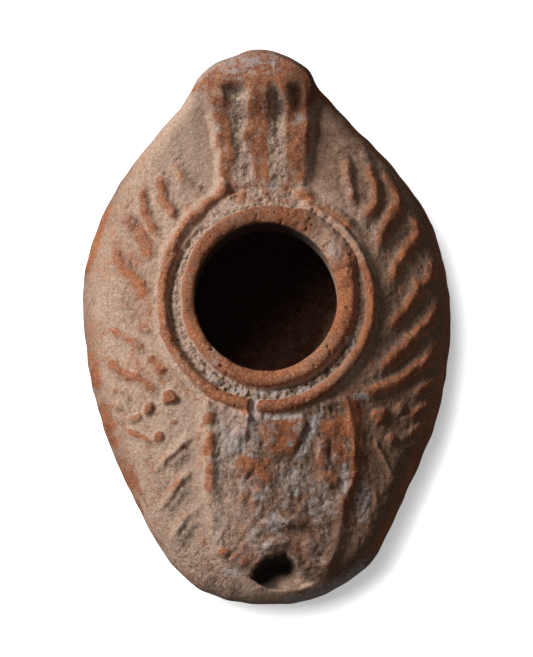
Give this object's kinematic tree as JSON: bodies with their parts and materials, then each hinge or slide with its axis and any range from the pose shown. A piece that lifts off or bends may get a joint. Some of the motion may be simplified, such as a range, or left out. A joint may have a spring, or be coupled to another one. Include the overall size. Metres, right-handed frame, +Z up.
{
  "type": "terracotta oil lamp",
  "caption": "Pear-shaped pottery oil lamp, hollow, with a ringed filling hole, radiating ridges, a nozzle with a wick hole and a ribbed lug handle.",
  "frame": {"origin": "under the middle of the lamp's bounding box, on the plane that it stands on", "axes": "+Z up, +Y from the nozzle to the handle, +X to the right as seen from the nozzle"},
  "size_m": [0.0646, 0.0943, 0.0393],
  "materials": {
    "terracotta": "unglazed, worn, with a sandy crust"
  },
  "bodies": {
    "root": {"lamp_body": "terracotta"}
  },
  "joints": []
}
